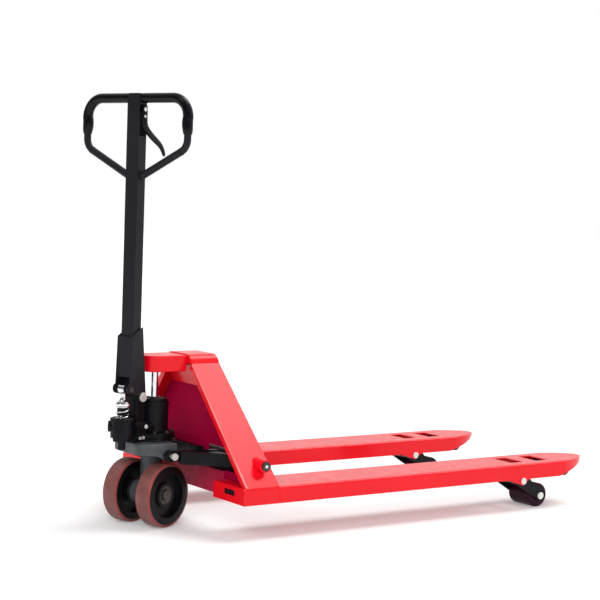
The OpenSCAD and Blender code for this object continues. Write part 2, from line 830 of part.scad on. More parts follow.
module handle_pivot_pin() {
  color("silver") at_steer() translate([-pivot_ahead, 0, pivot_height]) {
    bar_y(pivot_pin_r, -base_half - pass_gap, base_half + pass_gap);
    both_sides() bar_y(pivot_pin_r + 4, base_half + pass_gap, base_half + pass_gap + 5);
  }
}

// Release valve block on the near side of the pump, with a stub shaft for its lever
module at_valve() {
  at_steer() translate([-pivot_ahead - 6, -lug_half, cylinder_foot + 26]) children();
}

valve_depth = 14;
stub_end = valve_depth + 12;

module release_valve() {
  color("#38383c") at_valve() {
    translate([-18, -valve_depth, -25]) cube([30, valve_depth, 36]);
    bar_y(5, -stub_end, -valve_depth + 1);
  }
}

module release_lever() {
  tip = [-30, 8];
  color("silver") at_valve() difference() {
    plate_y(-stub_end + 3, -valve_depth - pass_gap) {
      circle(10);
      strip([0, 0], tip, 12);
      translate(tip) circle(6);
    }
    bar_y(5 + run_fit, -stub_end, 0);
  }
}

module plunger() {
  color("silver") at_steer() translate([-plunger_ahead, 0, 0]) {
    translate([0, 0, plunger_bottom]) cylinder(r = plunger_r, h = plunger_top - plunger_bottom);
    translate([0, 0, spring_top]) cylinder(r = spring_cap_r, h = 6);
  }
}

// The spring's wire is laid out on the unrolled cylinder of its middle radius: u runs round it, v up it.
// It starts and ends upright for one wire diameter, then bends into the helix.
spring_height = spring_top - cup_floor;
spring_bend = spring_wire;
spring_girth = 2 * PI * spring_r;
spring_slope = atan((spring_height - 2 * (spring_wire + spring_bend)) / (spring_turns * spring_girth));
spring_turn = 90 - spring_slope;
bend_v = spring_wire + spring_bend * sin(spring_turn);
bend_u = spring_bend * (1 - cos(spring_turn));
line_rise = spring_height - 2 * bend_v;
line_u = line_rise / tan(spring_slope);
line_steps = ceil(8 * line_u / spring_girth);
bend_steps = 4;
spring_total_u = line_u + 2 * bend_u;
spring_head = concat(
  [[0, 0, 90]],
  [for (i = [0:bend_steps]) let (a = spring_turn * i / bend_steps)
    [spring_bend * (1 - cos(a)), spring_wire + spring_bend * sin(a), 90 - a]]);
spring_line = [for (i = [1:line_steps - 1])
  [bend_u + line_u * i / line_steps, bend_v + line_rise * i / line_steps, spring_slope]];
spring_tail = [for (i = [len(spring_head) - 1:-1:0]) let (p = spring_head[i])
  [spring_total_u - p[0], spring_height - p[1], p[2]]];
spring_path = concat(spring_head, spring_line, spring_tail);

function on_spring(p, out, along) = let (a = p[0] / spring_r * 180 / PI, r = spring_r + out)
  [r * cos(a) + along * sin(p[2]) * sin(a), r * sin(a) - along * sin(p[2]) * cos(a),
   p[1] + along * cos(p[2])];

spring_sides = 6;
spring_points = [for (p = spring_path) for (k = [0:spring_sides - 1]) let (a = 360 * k / spring_sides)
  on_spring(p, spring_wire / 2 * cos(a), spring_wire / 2 * sin(a))];
spring_rings = len(spring_path);
spring_faces = concat(
  [for (k = [1:spring_sides - 2]) [0, k, k + 1]],
  [for (k = [1:spring_sides - 2]) let (b = (spring_rings - 1) * spring_sides) [b, b + k + 1, b + k]],
  [for (i = [0:spring_rings - 2]) for (k = [0:spring_sides - 1])
    let (a = i * spring_sides + k, b = i * spring_sides + (k + 1) % spring_sides)
    each [[a, a + spring_sides, b], [b, a + spring_sides, b + spring_sides]]]);

// Least gap of the wire to itself, between places more than half a turn apart
spring_gaps = [for (p = spring_path) for (q = spring_path) if (q[0] - p[0] > spring_girth / 2)
  norm(on_spring(p, 0, 0) - on_spring(q, 0, 0)) - spring_wire];
echo(least_spring_gap = min(spring_gaps));

module plunger_spring() {
  color("lightgray") at_steer() translate([-plunger_ahead, 0, cup_floor])
    polyhedron(points = spring_points, faces = spring_faces, convexity = 10);
}

module at_wheel() {
  at_steer() translate([-axle_trail, wheel_spacing / 2, wheel_r]) children();
}

module at_other_wheel() {
  at_steer() translate([-axle_trail, -wheel_spacing / 2, wheel_r]) mirror([0, 1, 0]) children();
}

// Cast wheel centre: rim, thin web and bearing boss turned about the axle
module wheel_hub() {
  rim_r = wheel_r - tread_depth;
  rim_depth = 12;
  web_half = 7;
  boss_outer = bearing_r + 9;
  half = wheel_width / 2;
  color("#202024") rotate([-90, 0, 0]) difference() {
    rotate_extrude($fn = 96) {
      translate([rim_r - rim_depth, -half]) square([rim_depth, wheel_width]);
      translate([bearing_r - 4, -web_half]) square([rim_r - bearing_r - 4, 2 * web_half]);
      translate([wheel_axle_r + 4, -half + hub_inset])
        square([boss_outer - wheel_axle_r - 4, wheel_width - 2 * hub_inset]);
    }
    for (side = [0, 1]) mirror([0, 0, side]) translate([0, 0, half - hub_inset - bearing_width])
      cylinder(r = bearing_r + run_fit, h = bearing_width + 1);
  }
}

module wheel_tread() {
  color("#86403e") round_roller(wheel_r, wheel_width, wheel_r - tread_depth + run_fit, 5);
}

module wheel_bearings() {
  half = wheel_width / 2 - hub_inset;
  color("silver") for (from_y = [-half, half - bearing_width]) difference() {
    bar_y(bearing_r, from_y, from_y + bearing_width);
    bar_y(wheel_axle_r + run_fit, from_y - 1, from_y + bearing_width + 1);
  }
}

// Side wall of the handle base seen from the side, with lobes for the two pins
module base_side_outline() {
  back = bar_ahead - bar_depth / 2 - 1;
  polygon([[-base_ahead, base_front_top], [-back, base_back_top], [-pivot_ahead + 14, pivot_height + 16],
           [-pivot_ahead + 16, pivot_height], [-pivot_ahead, pivot_height], [-press_ahead, press_height - 14],
           [-press_ahead - 4, press_height]]);
  translate([-pivot_ahead, pivot_height]) circle(16);
  translate([-press_ahead, press_height]) circle(14);
}

// Bent channel round the foot of the drawbar, filled between its walls
module handle_base() {
  front_wall = 6;
  fill_foot = 440;
  fill_top = 525;
  lip = 16;
  back = bar_ahead - bar_depth / 2 - 1;
  bore_x = bar_depth + 2 * run_fit;
  bore_y = bar_across + 2 * run_fit;
  color("#242428") at_steer() difference() {
    union() {
      both_sides() plate_y(cheek_gap, base_half) base_side_outline();
      translate([-base_ahead, -base_half, fill_foot - lip])
        cube([front_wall, 2 * base_half, base_front_top - fill_foot + lip]);
      translate([-base_ahead, -base_half, fill_foot])
        cube([base_ahead - back, 2 * base_half, fill_top - fill_foot]);
    }
    translate([-bar_ahead - bore_x / 2, -bore_y / 2, bar_foot]) cube([bore_x, bore_y, base_back_top]);
    translate([-bar_ahead, 0, fill_foot - 1]) cylinder(r = 8, h = 20);
    translate([-pivot_ahead, 0, pivot_height]) bar_y(pivot_pin_r + run_fit, -base_half - 1, base_half + 1);
    translate([-press_ahead, 0, press_height]) bar_y(press_pin_r + run_fit, -base_half - 1, base_half + 1);
  }
}

// Height of the drawbar's foot in the handle base
bar_foot = 446;

module drawbar() {
  foot = bar_foot;
  color("#242428") at_steer() difference() {
    translate([-bar_ahead - bar_depth / 2, -bar_across / 2, foot])
      cube([bar_depth, bar_across, loop_top - foot]);
    translate([-bar_ahead - bar_depth / 2 + bar_wall, -bar_across / 2 + bar_wall, foot - 1])
      cube([bar_depth - 2 * bar_wall, bar_across - 2 * bar_wall, loop_top - loop_r - bar_wall - foot]);
    translate([-bar_ahead, 0, loop_top]) bar_y(loop_r + run_fit, -bar_across, bar_across);
    translate([-bar_ahead, 0, lever_height]) bar_y(lever_pin_r + run_fit, -bar_across, bar_across);
  }
}

// Upright plane through the drawbar: path x runs across the truck, path y is the height
module in_loop_plane() {
  at_steer() translate([-bar_ahead, 0, 0]) rotate([90, 0, 90]) children();
}

// Heights of the loop's top bends, lower corners and foot
corner_height = loop_top - loop_top_bend;
low_turn = 90 - loop_arm_slope;
low_back = loop_low_bend * tan(low_turn / 2);
loop_elbow = loop_side_foot - low_back;
loop_foot = loop_elbow - loop_half * tan(loop_arm_slope);

// Upright side of the loop and its top bend
module corner_tube(r, from_height) {
  translate([loop_half, from_height]) rotate([-90, 0, 0]) cylinder(r = r, h = corner_height - from_height);
  translate([loop_half - loop_top_bend, corner_height])
    rotate_extrude(angle = 90) translate([loop_top_bend, 0]) circle(r);
}

module top_tube(r, from, to) {
  translate([from, loop_top]) rotate([0, 90, 0]) cylinder(r = r, h = to - from);
}

// Lower bend, and the arm that is a little thicker and laps into it
module low_tube(r) {
  lap = 1;
  step = 0.3;
  arm_run = (loop_half - bar_depth / 4) / cos(loop_arm_slope);
  translate([loop_half - loop_low_bend, loop_side_foot]) mirror([0, 1, 0])
    rotate_extrude(angle = low_turn) translate([loop_low_bend, 0]) circle(r);
  translate([loop_half, loop_elbow]) rotate(180 + loop_arm_slope) translate([low_back - lap, 0, 0])
    rotate([0, 90, 0]) cylinder(r = r + step, h = arm_run - low_back + lap);
}

module handle_loop() {
  corner_x = loop_half - loop_top_bend;
  color("#242428") difference() {
    in_loop_plane() {
      top_tube(loop_r, -corner_x, corner_x);
      for (side = [0, 1]) mirror([side, 0, 0]) {
        corner_tube(loop_r, loop_side_foot);
        low_tube(loop_r);
      }
    }
    at_steer() translate([-bar_ahead, 0, loop_foot])
      cube([2 * bar_depth, bar_across, 4 * bar_depth], center = true);
  }
}

module grip_tube(r, from_height, from) {
  corner_tube(r, from_height);
  top_tube(r, from, loop_half - loop_top_bend);
}

module grip() {
  start = bar_across / 2 + 4;
  over = 5;
  color("#1c1c1e") difference() {
    grip_tube(grip_r, grip_end, start);
    grip_tube(loop_r + run_fit, grip_end - over, start - over);
  }
}

module press_roller() {
  color("silver") at_steer() translate([-press_ahead, 0, press_height])
    round_roller(press_r, press_length, press_pin_r + run_fit, 2);
}

module press_pin() {
  color("silver") at_steer() translate([-press_ahead, 0, press_height]) {
    bar_y(press_pin_r, -base_half, base_half);
    both_sides() bar_y(press_pin_r + 3, base_half, base_half + 4);
  }
}

// Hand lever on the near side of the drawbar; its shaft carries a short crank inside the bar
crank_half = 4;

module hand_lever() {
  inner = bar_across / 2 + pass_gap;
  knee = [2, -50];
  bow = [lever_reach * 0.78, -lever_drop * 0.77];
  tip = [lever_reach, -lever_drop];
  color("#1c1c1e") at_steer() translate([-bar_ahead, 0, lever_height]) {
    plate_y(-inner - lever_wall, -inner) {
      circle(11);
      strip([0, 0], knee, 19.2);
      translate(knee) circle(10);
      strip(knee, bow, 14.2);
      translate(bow) circle(7.5);
      strip(bow, tip, 10.2);
      translate(tip) circle(5.5);
    }
    bar_y(lever_pin_r, -inner - lever_wall - 4, bar_across / 2 + 3);
    plate_y(-crank_half, crank_half) {
      circle(lever_pin_r + 1);
      strip([0, 0], [-rod_offset, 0], 2 * crank_half);
    }
  }
}

// Pull rod inside the drawbar, stepped at its foot to the middle of the bar
module pull_rod() {
  room = 2;
  top = lever_height - crank_half - room;
  foot = nose_bottom + 2;
  step = 40;
  color("silver") at_steer() translate([-bar_ahead, 0, foot]) {
    cylinder(r = pull_rod_r, h = step);
    translate([-rod_offset, -pull_rod_r, step - crank_half]) cube([rod_offset, 2 * pull_rod_r, crank_half]);
    translate([-rod_offset, 0, step - crank_half])
      cylinder(r = pull_rod_r, h = top - foot - step + crank_half);
  }
}

fork();  // fork_left
mirror([0, 1, 0]) fork();  // fork_right
heel_base();  // heel_base_left
mirror([0, 1, 0]) heel_base();  // heel_base_right
heel_side();  // heel_side_left
mirror([0, 1, 0]) heel_side();  // heel_side_right
bulkhead();
cross_plate();
top_cap();
lift_nose();
ram();
pivot_bosses();
rocker_pins();
fork_ears();
bracket_shafts();
entry_axles();
rocker_arm();
rocker_link_pins();
push_rod();  // push_rod_left
mirror([0, 1, 0]) push_rod();  // push_rod_right
load_bracket();  // load_bracket_left
mirror([0, 1, 0]) load_bracket();  // load_bracket_right
bracket_link_pin();  // bracket_link_pin_left
mirror([0, 1, 0]) bracket_link_pin();  // bracket_link_pin_right
roller_axle();  // roller_axle_left
mirror([0, 1, 0]) roller_axle();  // roller_axle_right
load_roller();  // load_roller_left
mirror([0, 1, 0]) load_roller();  // load_roller_right
entry_roller();  // entry_roller_left
mirror([0, 1, 0]) entry_roller();  // entry_roller_right
thrust_plate();
thrust_bearing();
thrust_bolts();
pump_body();
lift_cylinder();
cylinder_gland();
axle_yoke();
wheel_axle();
axle_nuts();
handle_pivot_pin();
release_valve();
release_lever();
plunger();
plunger_spring();
at_wheel() wheel_hub();  // wheel_hub_left
at_other_wheel() wheel_hub();  // wheel_hub_right
at_wheel() wheel_tread();  // wheel_tread_left
at_other_wheel() wheel_tread();  // wheel_tread_right
at_wheel() wheel_bearings();  // wheel_bearings_left
at_other_wheel() wheel_bearings();  // wheel_bearings_right
handle_base();
drawbar();
handle_loop();
in_loop_plane() grip();  // grip_left
in_loop_plane() mirror([1, 0, 0]) grip();  // grip_right
press_roller();
press_pin();
hand_lever();
pull_rod();
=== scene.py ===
import json
import math

import bmesh
import bpy
from mathutils import Matrix, Vector


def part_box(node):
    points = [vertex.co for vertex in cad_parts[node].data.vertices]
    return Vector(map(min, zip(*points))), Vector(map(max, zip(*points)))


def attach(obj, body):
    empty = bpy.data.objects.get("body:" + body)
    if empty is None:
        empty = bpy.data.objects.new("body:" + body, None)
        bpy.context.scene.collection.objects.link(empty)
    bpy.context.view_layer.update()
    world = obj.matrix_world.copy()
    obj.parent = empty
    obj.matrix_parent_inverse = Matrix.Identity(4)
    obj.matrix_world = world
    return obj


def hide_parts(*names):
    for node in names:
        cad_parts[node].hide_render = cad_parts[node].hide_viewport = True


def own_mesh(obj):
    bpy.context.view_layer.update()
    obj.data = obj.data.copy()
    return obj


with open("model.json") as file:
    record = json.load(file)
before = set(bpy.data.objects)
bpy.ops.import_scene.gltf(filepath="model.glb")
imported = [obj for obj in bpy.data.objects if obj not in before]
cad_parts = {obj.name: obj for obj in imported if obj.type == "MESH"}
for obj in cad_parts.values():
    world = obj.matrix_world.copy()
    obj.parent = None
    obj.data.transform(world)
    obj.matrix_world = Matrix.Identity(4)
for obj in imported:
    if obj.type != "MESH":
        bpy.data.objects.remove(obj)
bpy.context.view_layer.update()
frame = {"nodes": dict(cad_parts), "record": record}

scene = bpy.context.scene
record = frame["record"]
bodies = record["behaviour"]["bodies"]
body_of = {node: body for body, members in bodies.items() for node in members}
slot_of = {part["node"]: part["material_slot"] for part in record["subparts"]}

# Lengths are in metres: x runs along the truck to the fork tips, y to its left, z up
SIDES = ((1, "left"), (-1, "right"))
# Front plate of the heel, and the height at which its side plates carry the cap
HEEL_X = -0.523747
CAP_SEAT = 0.457
# Axis of the rocker's tube and pivot pins
PIVOT_X = HEEL_X + 0.075
PIVOT_Z = 0.200
# The steered unit's own frame: x towards the forks, y to the left, turned as in the photograph
STEER_X = HEEL_X - 0.094
STEER_TURN = math.radians(21.1)
STEERED = Matrix.Translation((STEER_X, 0, 0)) @ Matrix.Rotation(STEER_TURN, 4, "Z")
# Axes of the drawbar, the plunger and the steer wheels in that frame
BAR_X = -0.1055
PLUNGER_X = -0.1335
AXLE_X, AXLE_Z = -0.023, 0.090
AT_PLUNGER = STEERED @ Matrix.Translation((PLUNGER_X, 0, 0))
# Points closer than this are one point
SAME_POINT = 1e-6


# Finishes

def new_finish(name):
    """A new material with its node tree and its shader."""
    material = bpy.data.materials.new(name)
    material.use_nodes = True
    return material, material.node_tree, material.node_tree.nodes["Principled BSDF"]


def noise(tree, place, scale, detail=3.0):
    """A cloudy pattern in the piece's own coordinates."""
    node = tree.nodes.new("ShaderNodeTexNoise")
    node.inputs["Scale"].default_value = scale
    node.inputs["Detail"].default_value = detail
    tree.links.new(place, node.inputs["Vector"])
    return node.outputs["Fac"]


def ramp(tree, factor, low, high, start=0.35, end=0.65):
    """Colours or grey values that follow a pattern between two limits."""
    node = tree.nodes.new("ShaderNodeValToRGB")
    first, last = node.color_ramp.elements
    first.position, last.position = start, end
    first.color = (*low, 1) if isinstance(low, tuple) else (low, low, low, 1)
    last.color = (*high, 1) if isinstance(high, tuple) else (high, high, high, 1)
    tree.links.new(factor, node.inputs["Fac"])
    return node.outputs["Color"]


def bump(tree, shader, height, strength, distance):
    """Relief on the surface from a pattern."""
    node = tree.nodes.new("ShaderNodeBump")
    node.inputs["Strength"].default_value = strength
    node.inputs["Distance"].default_value = distance
    tree.links.new(height, node.inputs["Height"])
    tree.links.new(node.outputs["Normal"], shader.inputs["Normal"])


def surface(name, colour, deep, rough, drift, polish, uneven, grain, skin):
    """A finish whose colour drifts, whose gloss is uneven and whose skin has a grain.

    drift and polish are the scales of the first two patterns, uneven is how far the roughness
    goes either way, and skin holds the grain's scale, detail and depth.
    """
    material, tree, shader = new_finish(name)
    place = tree.nodes.new("ShaderNodeTexCoord").outputs["Object"]
    colours = ramp(tree, noise(tree, place, drift), deep, colour)
    gloss = ramp(tree, noise(tree, place, polish), rough - uneven, rough + uneven)
    tree.links.new(colours, shader.inputs["Base Color"])
    tree.links.new(gloss, shader.inputs["Roughness"])
    scale, detail, depth = skin
    bump(tree, shader, noise(tree, place, scale, detail), grain, depth)
    return material, shader


def paint(name, colour, deep, rough, shine, coat, peel):
    """Sprayed paint: slow colour drift, uneven gloss and a fine orange-peel skin."""
    material, shader = surface(name, colour, deep, rough, drift=7.0, polish=45.0, uneven=0.05,
                               grain=peel, skin=(420.0, 2.0, 0.0004))
    shader.inputs["Specular IOR Level"].default_value = shine
    shader.inputs["Coat Weight"].default_value = coat
    shader.inputs["Coat Roughness"].default_value = 0.16
    return material


def metal(name, colour, deep, rough, grain, bare):
    """Steel, bare or under a dull plating: fine grain and patches of different polish."""
    material, shader = surface(name, colour, deep, rough, drift=60.0, polish=150.0, uneven=0.06,
                               grain=grain, skin=(900.0, 4.0, 0.0003))
    shader.inputs["Metallic"].default_value = bare
    return material


def casting(name, colour, deep, rough, shine, grain):
    """Painted casting with the sand's coarse skin showing through."""
    material, shader = surface(name, colour, deep, rough, drift=25.0, polish=80.0, uneven=0.1,
                               grain=grain, skin=(260.0, 5.0, 0.0008))
    shader.inputs["Specular IOR Level"].default_value = shine
    return material


def moulded(name, colour, deep, rough, shine, grain, scale):
    """Moulded plastic or polyurethane with a faint skin texture and scuffs."""
    material, shader = surface(name, colour, deep, rough, drift=18.0, polish=70.0, uneven=0.08,
                               grain=grain, skin=(scale, 3.0, 0.0005))
    shader.inputs["Specular IOR Level"].default_value = shine
    return material


RED = paint("red_gloss_paint", (0.83, 0.004, 0.014), (0.77, 0.003, 0.011),
            rough=0.36, shine=0.10, coat=0.38, peel=0.05)
# Pale pink paint for the rounded front bend of the heel's side plates: a painted highlight
RED_PAINTED_HIGHLIGHT = paint("red_painted_highlight", (0.95, 0.34, 0.34), (0.88, 0.16, 0.17),
                 rough=0.34, shine=0.20, coat=0.40, peel=0.05)
# Dark red for the bulkhead's upright part and the skirts under it: painted shade
RED_PAINTED_SHADE = paint("red_painted_shade", (0.38, 0.0015, 0.040), (0.31, 0.0012, 0.034),
                 rough=0.50, shine=0.01, coat=0.0, peel=0.10)
# Crimson for the cross plate and its lip: painted shade, lighter than the bulkhead's
RED_PAINTED_SOFT_SHADE = paint("red_painted_soft_shade", (0.52, 0.012, 0.062), (0.43, 0.008, 0.050),
                  rough=0.45, shine=0.10, coat=0.0, peel=0.10)
BLACK = paint("black_satin_paint", (0.0145, 0.0145, 0.0175), (0.011, 0.011, 0.0135),
              rough=0.34, shine=0.13, coat=0.0, peel=0.08)
CAST_BLACK = casting("black_casting", (0.0055, 0.0055, 0.007), (0.003, 0.003, 0.004),
                     rough=0.42, shine=0.16, grain=0.25)
CAST_GREY = casting("grey_casting", (0.074, 0.082, 0.087), (0.048, 0.055, 0.060),
                    rough=0.44, shine=0.40, grain=0.25)
CHROME = metal("polished_steel", (0.86, 0.86, 0.88), (0.76, 0.76, 0.79),
               rough=0.14, grain=0.02, bare=1.0)
ZINC = metal("zinc_plate", (0.80, 0.80, 0.78), (0.66, 0.66, 0.64),
             rough=0.36, grain=0.06, bare=0.45)
STEEL = metal("greased_steel", (0.085, 0.078, 0.075), (0.045, 0.042, 0.040),
              rough=0.40, grain=0.06, bare=0.6)
DARK_STEEL = metal("oiled_steel", (0.10, 0.09, 0.09), (0.05, 0.045, 0.045),
                   rough=0.38, grain=0.06, bare=1.0)
TREAD = moulded("brown_polyurethane", (0.235, 0.082, 0.075), (0.165, 0.056, 0.051),
                rough=0.44, shine=0.34, grain=0.10, scale=300.0)
TREAD_EDGE = moulded("red_polyurethane_edge", (0.46, 0.050, 0.045), (0.36, 0.038, 0.035),
                     rough=0.45, shine=0.30, grain=0.08, scale=300.0)
ROLLER = moulded("dark_polyurethane", (0.030, 0.004, 0.017), (0.016, 0.002, 0.010),
                 rough=0.36, shine=0.12, grain=0.10, scale=300.0)
GRIP = moulded("black_grip", (0.0035, 0.0035, 0.005), (0.002, 0.002, 0.003),
               rough=0.24, shine=0.20, grain=0.08, scale=500.0)
FINISHES = {"red_paint": RED, "black_paint": BLACK, "chrome": CHROME, "zinc": ZINC,
            "grey_casting": CAST_GREY, "tread": TREAD, "roller": ROLLER, "grip": GRIP}


# Shapes

def sharp_edges(bm, angle):
    """The edges whose faces meet at more than an angle in degrees."""
    limit = math.radians(angle)
    return [e for e in bm.edges if len(e.link_faces) == 2 and e.calc_face_angle() > limit]


def away_from(edges, height):
    """The edges that don't lie at a height."""
    return [e for e in edges if any(abs(v.co.z - height) > 1e-4 for v in e.verts)]


def round_edges(bm, edges, width, segments=2):
    """Rounds edges over a width, and gives the new faces."""
    return bmesh.ops.bevel(bm, geom=edges, offset=width, offset_type="OFFSET", affect="EDGES",
                           segments=segments, profile=0.5, material=-1,
                           clamp_overlap=False)["faces"]


def solid_of(node):
    """A merged copy of a node's solid with its flat faces whole."""
    bm = bmesh.new()
    bm.from_mesh(frame["nodes"][node].data)
    bmesh.ops.remove_doubles(bm, verts=bm.verts, dist=SAME_POINT)
    bmesh.ops.dissolve_limit(bm, angle_limit=math.radians(0.5), verts=bm.verts, edges=bm.edges)
    return bm


def block(bm, low, high, place=Matrix()):
    """A box between two corners."""
    low, high = Vector(low), Vector(high)
    size = Matrix.Diagonal((*(high - low), 1))
    middle = Matrix.Translation((low + high) / 2)
    bmesh.ops.create_cube(bm, size=1, matrix=place @ middle @ size)


def drum(bm, start, end, radius, sides=32, place=Matrix()):
    """A round bar, or a hexagon with six sides, between two points."""
    start, end = Vector(start), Vector(end)
    way = end - start
    turn = way.to_track_quat("Z", "Y").to_matrix().to_4x4()
    middle = Matrix.Translation((start + end) / 2)
    bmesh.ops.create_cone(bm, cap_ends=True, segments=sides, radius1=radius, radius2=radius,
                          depth=way.length, matrix=place @ middle @ turn)


def slab(bm, outline, way):
    """A plate with a drawn outline, grown by a vector."""
    face = bm.faces.new([bm.verts.new(point) for point in outline])
    grown = bmesh.ops.extrude_face_region(bm, geom=[face])["geom"]
    bmesh.ops.translate(bm, vec=way, verts=[v for v in grown if isinstance(v, bmesh.types.BMVert)])
    bmesh.ops.recalc_face_normals(bm, faces=bm.faces)


def lathe(bm, profile, place, steps=64):
    """A closed half profile of radius and height turned about the place's own z axis."""
    verts = [bm.verts.new((r, 0, z)) for r, z in profile]
    edges = [bm.edges.new((a, b)) for a, b in zip(verts, verts[1:] + verts[:1])]
    bmesh.ops.spin(bm, geom=verts + edges, cent=(0, 0, 0), axis=(0, 0, 1), dvec=(0, 0, 0),
                   angle=2 * math.pi, steps=steps, use_merge=True)
    bmesh.ops.remove_doubles(bm, verts=bm.verts, dist=SAME_POINT)
    bmesh.ops.recalc_face_normals(bm, faces=bm.faces)
    bmesh.ops.transform(bm, matrix=place, verts=bm.verts)


def sweep(bm, points, sizes, side, place=Matrix(), sides=24):
    """A closed skin along a path. Each size is a half width across `side` and a half height."""
    points = [Vector(p) for p in points]
    side = Vector(side)
    rings = []
    for i, point in enumerate(points):
        way = (points[min(i + 1, len(points) - 1)] - points[max(i - 1, 0)]).normalized()
        across = (side - side.dot(way) * way).normalized()
        turn = Matrix((across, way.cross(across), way)).transposed().to_4x4()
        wide, high = sizes[i]
        size = Matrix.Diagonal((wide, high, 1, 1))
        rings.append(place @ Matrix.Translation(point) @ turn @ size)
    first = bmesh.ops.create_circle(bm, cap_ends=True, radius=1, segments=sides, matrix=rings[0])
    loop = list(dict.fromkeys(e for v in first["verts"] for e in v.link_edges))
    last = rings[0]
    for ring in rings[1:]:
        grown = bmesh.ops.extrude_edge_only(bm, edges=loop)["geom"]
        verts = [g for g in grown if isinstance(g, bmesh.types.BMVert)]
        edges = [g for g in grown if isinstance(g, bmesh.types.BMEdge)]
        loop = [e for e in edges if all(v in verts for v in e.verts)]
        bmesh.ops.transform(bm, matrix=ring @ last.inverted(), verts=verts)
        last = ring
    bmesh.ops.contextual_create(bm, geom=loop)
    bmesh.ops.recalc_face_normals(bm, faces=bm.faces)


def eased(points, steps):
    """A smooth curve through points of any length of numbers."""
    points = [Vector(p) for p in points]
    final = len(points) - 1
    curve = []
    for i in range(final):
        a, b, c, d = points[max(i - 1, 0)], points[i], points[i + 1], points[min(i + 2, final)]
        for k in range(steps):
            t = k / steps
            curve.append(0.5 * (2 * b + (c - a) * t + (2 * a - 5 * b + 4 * c - d) * t * t
                                + (3 * b - a - 3 * c + d) * t * t * t))
    return curve + [points[-1]]


# Pieces

def show(bm, name, body, slot, replaced=(), finish=None, crease=40):
    """Makes a finished piece of a mesh, in place, riding on a body."""
    mesh = bpy.data.meshes.new(name)
    bm.to_mesh(mesh)
    bm.free()
    mesh.shade_smooth()
    mesh.set_sharp_from_angle(angle=math.radians(crease))
    mesh.materials.append(finish or FINISHES[slot])
    piece = bpy.data.objects.new(name, mesh)
    scene.collection.objects.link(piece)
    shading = piece.modifiers.new("flat faces stay flat", "WEIGHTED_NORMAL")
    shading.keep_sharp = True
    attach(piece, body)
    if replaced:
        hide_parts(*replaced)
    return piece


def softened(node, width, finish=None, crisp=None):
    """The node's own shape with its sharp edges rounded as paint or casting rounds them.

    Edges at the height named crisp stay sharp.
    """
    bm = solid_of(node)
    edges = sharp_edges(bm, 40)
    round_edges(bm, edges if crisp is None else away_from(edges, crisp), width)
    show(bm, node + "_finished", body_of[node], slot_of[node], (node,), finish)


def rounded_block(name, body, slot, low, high, edge, segments=2, finish=None, place=Matrix()):
    """A straight piece between two corners, with its edges rounded."""
    bm = bmesh.new()
    block(bm, low, high, place)
    round_edges(bm, sharp_edges(bm, 60), edge, segments)
    show(bm, name, body, slot, finish=finish)


def cut_plate(name, body, slot, outline, way, edge, segments=2, finish=None):
    """A plate cut to an outline, with its edges rounded."""
    bm = bmesh.new()
    slab(bm, outline, way)
    round_edges(bm, sharp_edges(bm, 60), edge, segments)
    show(bm, name, body, slot, finish=finish)


def turned(name, body, slot, profile, place, replaced=(), finish=None, crease=30, steps=64):
    """A round piece turned from a closed half profile."""
    bm = bmesh.new()
    lathe(bm, profile, place, steps)
    show(bm, name, body, slot, replaced, finish, crease)


def bolt(name, body, centre, way, radius, height, finish=ZINC):
    """A hexagon head on its washer, with its edges broken, on the steered unit."""
    washer, washer_radius = 0.0015, radius * 1.25
    bm = bmesh.new()
    centre, way = Vector(centre), Vector(way)
    seat = centre + way * washer
    drum(bm, centre, seat, washer_radius, place=STEERED)
    drum(bm, seat, centre + way * height, radius, sides=6, place=STEERED)
    round_edges(bm, sharp_edges(bm, 50), 0.0005)
    show(bm, name, body, "zinc", finish=finish)


# Handle

BAR_HALF_X, BAR_HALF_Y = 0.018, 0.02125
BAR_FOOT = 0.446
LOOP_TOP = 1.191
LEVER_Z = 1.160


def grip(side, name):
    """A hand grip that swells where the palm rests and thins towards its end."""
    bend, across, girth = 0.052, 0.178, 0.0138
    bend_steps, swell_from = 12, 0.014
    path = [(BAR_X, side * y, LOOP_TOP) for y in (0.0218, 0.0228, 0.06, 0.10)]
    for step in range(bend_steps + 1):
        turn = math.radians(90 / bend_steps * step)
        path.append((BAR_X, side * (across - bend + bend * math.sin(turn)),
                     LOOP_TOP - bend + bend * math.cos(turn)))
    sizes = [0.0128] + [girth] * 11 + [0.0139, 0.0140, 0.0142, 0.0145, 0.0148]
    palm = ((1.132, 0.0154), (1.124, 0.0158), (1.114, 0.0155), (1.106, 0.0146), (1.099, 0.0132),
            (1.094, 0.0122), (1.092, 0.0112))
    for height, size in palm:
        path.append((BAR_X, side * (across - max(size - swell_from, 0)), height))
        sizes.append(size)
    bm = bmesh.new()
    sweep(bm, path, [(min(size, girth), size) for size in sizes], (1, 0, 0), STEERED, sides=28)
    show(bm, "grip_%s_finished" % name, "handle", "grip", ("grip_" + name,))


